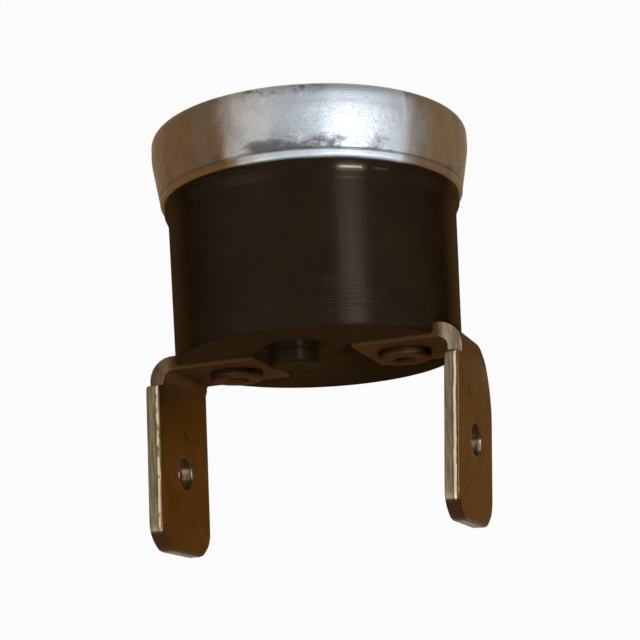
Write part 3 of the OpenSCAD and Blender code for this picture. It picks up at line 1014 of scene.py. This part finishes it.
class THERMOSTAT_OT_rivets(bpy.types.Operator):
    """Builds the hollow rivets with their rolled heads"""

    bl_idname = "thermostat.rivets"
    bl_label = "Rivets"

    def execute(self, context):
        tone = tuple(context.scene.thermostat_rivets.tone)
        metal = rolled_metal(
            "rivet_brass",
            [c * 0.7 for c in tone],
            [min(1, c * 1.4) for c in tone],
            [c * 0.3 for c in tone],
            roughness=0.42,
            rim=(0.6, 0.42, 0.3),
            film=0.4,
        )
        top = STRIP_Z + STRIP_T
        bore, shank, flange, head = 0.55, 1.0, 1.35, 1.5
        flange_t, head_t = 0.4, 0.45
        # The right rivet reaches down to the fixed contact's plate, the left one to the arm
        for side, low in ((1, 9.2), (-1, 6.44)):
            corners = [
                (shank, low, 0),
                (flange, low, 0.05),
                (flange, low - flange_t, 0.05),
                (bore, low - flange_t, 0.18),
                (bore, top + head_t, 0.2),
                (head, top + head_t, 0.22),
                (head - 0.08, top, 0.1),
                (shank, top, 0),
            ]

            def waver(r, z, angle, side=side):
                """Rolls the head a little unevenly, always inwards."""
                if z < top or r < 0.9:
                    return r, z
                spot = Vector((math.cos(angle) * 3, math.sin(angle) * 3, side * 4))
                dent = 0.5 + 0.5 * noise.noise(spot)
                return r - 0.03 * dent, z - 0.02 * abs(noise.noise(spot * 2))

            bm = lathe(rounded(corners, 8), 96, (side * RIVET_X, 0.0), waver)
            name = "right_rivet" if side > 0 else "left_rivet"
            obj = mesh_object(name.replace("rivet", "rolled_rivet"), bm, [metal], 45)
            put_on(obj, "case", "rivet_metal", name)
        return {"FINISHED"}


class THERMOSTAT_OT_button(bpy.types.Operator):
    """Builds the reset button"""

    bl_idname = "thermostat.button"
    bl_label = "Reset button"

    def execute(self, context):
        gloss = context.scene.thermostat_button.gloss
        dark, light = (0.0075, 0.004, 0.0015), (0.0115, 0.006, 0.002)
        plastic = phenolic("button_plastic", dark, light, gloss, 0.14)
        spigot, flange, r = 0.6, 1.9, 1.35
        foot, flange_low, flange_top = 7.99, 9.2, 9.7
        groove, groove_d, tip = TOP_Z + 0.33, 0.06, TOP_Z + 1.1
        corners = [
            (0, foot, 0),
            (spigot, foot, 0.1),
            (spigot, flange_low, 0.05),
            (flange, flange_low, 0.05),
            (flange, flange_top, 0.05),
            (r, flange_top, 0.03),
            (r, groove - groove_d, 0.02),
            (r - groove_d, groove, 0.02),
            (r, groove + groove_d, 0.02),
            (r, tip, 0.17),
            (r - 0.5, tip, 0.3),
            (0, tip - 0.03, 0),
        ]
        bm = lathe(rounded(corners, 6), 96, (0.0, BUTTON_Y))
        button = mesh_object("button_moulding", bm, [plastic], 35)
        put_on(button, "button", "button_plastic", "reset_button")
        return {"FINISHED"}


class THERMOSTAT_OT_inside(bpy.types.Operator):
    """Finishes the pieces inside the housing"""

    bl_idname = "thermostat.inside"
    bl_label = "Inner pieces"

    def execute(self, context):
        # Dark tone, light tone and spots of each metal
        brass = (0.5, 0.33, 0.13), (0.72, 0.52, 0.25), (0.25, 0.14, 0.06)
        plate = (0.48, 0.36, 0.17), (0.68, 0.54, 0.3), (0.24, 0.15, 0.07)
        silver = (0.7, 0.69, 0.66), (0.88, 0.87, 0.84), (0.4, 0.37, 0.33)
        bimetal = (0.42, 0.38, 0.33), (0.6, 0.56, 0.5), (0.2, 0.16, 0.13)
        steel = (0.4, 0.4, 0.39), (0.62, 0.62, 0.6), (0.15, 0.14, 0.13)
        brown = (0.10, 0.045, 0.02), (0.17, 0.08, 0.04)
        contact = rolled_metal("contact_silver", *silver, 0.2)
        dress("pin_guide", phenolic("guide_phenolic", *brown, 0.45, 0.8))
        dress("transfer_pin", fired_ceramic((0.78, 0.75, 0.67)))
        dress("bimetal_disc", rolled_metal("bimetal", *bimetal, 0.3, (6, 0.4, 2)))
        dress("contact_arm", rolled_metal("spring_brass", *brass, 0.24, (0.4, 6, 2)))
        dress("fixed_contact_plate", rolled_metal("plate_brass", *plate, 0.3, (0.4, 6, 2)))
        dress("moving_contact", contact)
        dress("fixed_contact", contact)
        self.spring(rolled_metal("spring_steel", *steel, 0.25, (3, 3, 3)))
        return {"FINISHED"}

    def spring(self, wire):
        """The return spring, wound as a lower and an upper half."""
        x, y, middle, turns = 0.0, BUTTON_Y, 7.995, 2
        radius, thick, foot, head = 0.8, 0.2, 6.91, 9.08
        lower = coil("reset_coil_lower", wire, (x, y), radius, thick, foot, middle, turns)
        upper = coil("reset_coil_upper", wire, (x, y), radius, thick, middle, head, turns)
        for half in (lower, upper):
            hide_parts("reset_spring")
        start, end = (x * MM, y * MM, 6.81 * MM), (x * MM, y * MM, 7.85 * MM)
        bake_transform(lower)
        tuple(start)
        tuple(end)
        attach(upper, "case")
        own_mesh(upper)


class THERMOSTAT_OT_stage(bpy.types.Operator):
    """Sets up the camera, the lamps, the sky and the floor"""

    bl_idname = "thermostat.stage"
    bl_label = "Stage"

    def execute(self, context):
        s = context.scene.thermostat_stage
        scene = context.scene
        scene.view_settings.view_transform = "Standard"
        self.camera(scene, s.lens)
        self.lamp("key_light", (-0.188, -0.165, 0.032), 0.09, 0.068, s.key)
        self.lamp("fill_light", (0.16, -0.26, 0.2), 0.25, 0.2, s.fill)
        self.sky(scene, s.sky)
        self.floor(tuple(s.floor))
        return {"FINISHED"}

    def camera(self, scene, lens):
        """The camera looks up at the terminal face of the inverted part, rolled over."""
        stand = (-0.033695, -0.092408, 0.034425)
        az, el, roll = (math.radians(a) for a in (19.948, -13.653, -2.725))
        back = Vector((math.sin(az) * math.cos(el), -math.cos(az) * math.cos(el), math.sin(el)))
        right = (-back).cross(Vector((0, 0, 1))).normalized()
        up = right.cross(-back)
        across = right * math.cos(roll) + up * math.sin(roll)
        above = up * math.cos(roll) - right * math.sin(roll)
        flip = Matrix.Diagonal((-1, 1, -1))
        axes = Matrix([flip @ across, flip @ above, flip @ back]).transposed()
        data = bpy.data.cameras.new("camera")
        data.lens = lens
        data.sensor_width = 36
        data.clip_start = 0.005
        camera = bpy.data.objects.new("camera", data)
        camera.matrix_world = Matrix.Translation(stand) @ axes.to_4x4()
        scene.collection.objects.link(camera)
        scene.camera = camera

    def lamp(self, name, where, width, height, power):
        """An oval lamp that faces the middle of the part."""
        data = bpy.data.lights.new(name, "AREA")
        data.shape = "ELLIPSE"
        data.size, data.size_y = width, height
        data.energy = power
        lamp = bpy.data.objects.new(name, data)
        lamp.location = where
        aim = Vector((0, 0, 0.01)) - Vector(where)
        lamp.rotation_euler = aim.to_track_quat("-Z", "Y").to_euler()
        bpy.context.scene.collection.objects.link(lamp)

    def sky(self, scene, strength):
        """A white sky that lights the part less than it shows."""
        world = bpy.data.worlds.new("sky")
        world.use_nodes = True
        scene.world = world
        f = Finish("sky", world.node_tree)
        power = strength + f.seen() * (1.0 - strength)
        shade = f.node("ShaderNodeBackground", sockets={"Color": (1, 1, 1), "Strength": power})
        f.node("ShaderNodeOutputWorld", sockets={"Surface": shade})

    def floor(self, colour):
        """A wide pale disc under the part, which shows nearly white."""
        bm = bmesh.new()
        count = 96
        turns = [math.tau * k / count for k in range(count)]
        rings = [
            [bm.verts.new((r * math.cos(a), r * math.sin(a), 0)) for a in turns]
            for r in (0.05, 0.15, 0.4, 0.9, 1.6)
        ]
        bm.faces.new(rings[0])
        for a, b in zip(rings, rings[1:]):
            for i in range(count):
                j = (i + 1) % count
                bm.faces.new((a[i], a[j], b[j], b[i]))
        mesh = bpy.data.meshes.new("floor")
        bm.to_mesh(mesh)
        bm.free()
        floor = bpy.data.objects.new("floor", mesh)
        bpy.context.scene.collection.objects.link(floor)
        f = Finish("floor")
        grain = f.noise(f.place(), 6.0, 4.0)
        matt = f.node(
            "ShaderNodeBsdfPrincipled",
            sockets={
                "Base Color": f.mix(grain * 0.3, colour, [c * 0.98 for c in colour]),
                "Roughness": 0.9,
                "Specular IOR Level": 0.1,
            },
        )
        white = f.node("ShaderNodeEmission", sockets={"Color": (1, 1, 1), "Strength": 1.0})
        both = f.node("ShaderNodeMixShader", sockets={0: f.seen() * 0.94, 1: matt, 2: white})
        f.node("ShaderNodeOutputMaterial", sockets={"Surface": both})
        mesh.materials.append(f.material)


class THERMOSTAT_PT_panel(bpy.types.Panel):
    """Shows each step's settings above its button"""

    bl_label = "Thermostat"
    bl_idname = "THERMOSTAT_PT_panel"
    bl_space_type = "VIEW_3D"
    bl_region_type = "UI"
    bl_category = "Thermostat"

    def draw(self, context):
        for name, operator in STEPS:
            box = self.layout.box()
            if name:
                group = getattr(context.scene, name)
                for entry in GROUPS[name].__annotations__:
                    box.prop(group, entry)
            box.operator(operator.bl_idname)


# The operators in their order, each with the name of its settings on the scene
STEPS = (
    ("thermostat_stage", THERMOSTAT_OT_stage),
    ("thermostat_cap", THERMOSTAT_OT_cap),
    ("thermostat_housing", THERMOSTAT_OT_housing),
    ("thermostat_terminals", THERMOSTAT_OT_terminals),
    ("thermostat_rivets", THERMOSTAT_OT_rivets),
    ("thermostat_button", THERMOSTAT_OT_button),
    (None, THERMOSTAT_OT_inside),
)
GROUPS = {
    "thermostat_cap": CapSettings,
    "thermostat_housing": HousingSettings,
    "thermostat_terminals": TerminalSettings,
    "thermostat_rivets": RivetSettings,
    "thermostat_button": ButtonSettings,
    "thermostat_stage": StageSettings,
}


def register():
    """Registers the settings, the operators and the panel."""
    for name, group in GROUPS.items():
        bpy.utils.register_class(group)
        setattr(bpy.types.Scene, name, PointerProperty(type=group))
    for _, operator in STEPS:
        bpy.utils.register_class(operator)
    bpy.utils.register_class(THERMOSTAT_PT_panel)


def unregister():
    """Takes away all that register added."""
    bpy.utils.unregister_class(THERMOSTAT_PT_panel)
    for _, operator in reversed(STEPS):
        bpy.utils.unregister_class(operator)
    for name, group in GROUPS.items():
        delattr(bpy.types.Scene, name)
        bpy.utils.unregister_class(group)


def main():
    """Builds the whole scene."""
    register()
    bpy.ops.thermostat.stage()
    bpy.ops.thermostat.cap()
    bpy.ops.thermostat.housing()
    bpy.ops.thermostat.terminals()
    bpy.ops.thermostat.rivets()
    bpy.ops.thermostat.button()
    bpy.ops.thermostat.inside()


if __name__ == "__main__":
    main()
